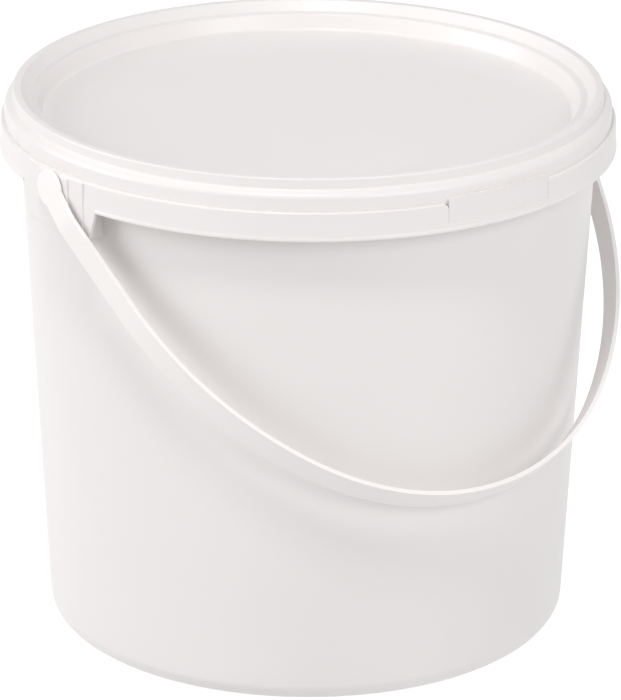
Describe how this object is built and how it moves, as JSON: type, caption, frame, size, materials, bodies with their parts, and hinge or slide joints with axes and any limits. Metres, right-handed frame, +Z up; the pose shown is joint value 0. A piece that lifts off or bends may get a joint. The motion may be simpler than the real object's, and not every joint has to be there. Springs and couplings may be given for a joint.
{
  "type": "bucket",
  "caption": "Round tapered plastic pail with a push-on recessed lid, a flat strip bail handle and a tear-out tamper tab in its collar.",
  "frame": {"origin": "centre of the base, on the surface the pail stands on", "axes": "+Z up along the pail's axis, X along the line through the two handle pivots, -Y towards the tear-out tab and the side on which the handle hangs"},
  "size_m": [0.2806, 0.275, 0.249],
  "materials": {
    "bucket": "satin white moulded polypropylene",
    "lid": "satin white moulded polypropylene",
    "handle": "satin white moulded polypropylene",
    "tamper_tab": "satin white moulded polypropylene"
  },
  "bodies": {
    "pail": {"bucket": "bucket"},
    "cover": {"lid": "lid"},
    "bail": {"handle": "handle"},
    "tab": {"tamper_tab": "tamper_tab"}
  },
  "joints": [
    {"name": "handle_swing", "type": "hinge", "parent": "pail", "child": "bail", "pos_m": [0, 0, 0.228], "axis": [-1, 0, 0], "range_deg": [0, 270.4]},
    {"name": "lid_lift", "type": "slide", "parent": "pail", "child": "cover", "axis": [0, 0, 1], "range_m": [0, 0.08]},
    {"name": "tab_tear", "type": "hinge", "parent": "pail", "child": "tab", "pos_m": [0.027, -0.13431, 0.232], "axis": [0, 0, 1], "range_deg": [0, 80]}
  ]
}
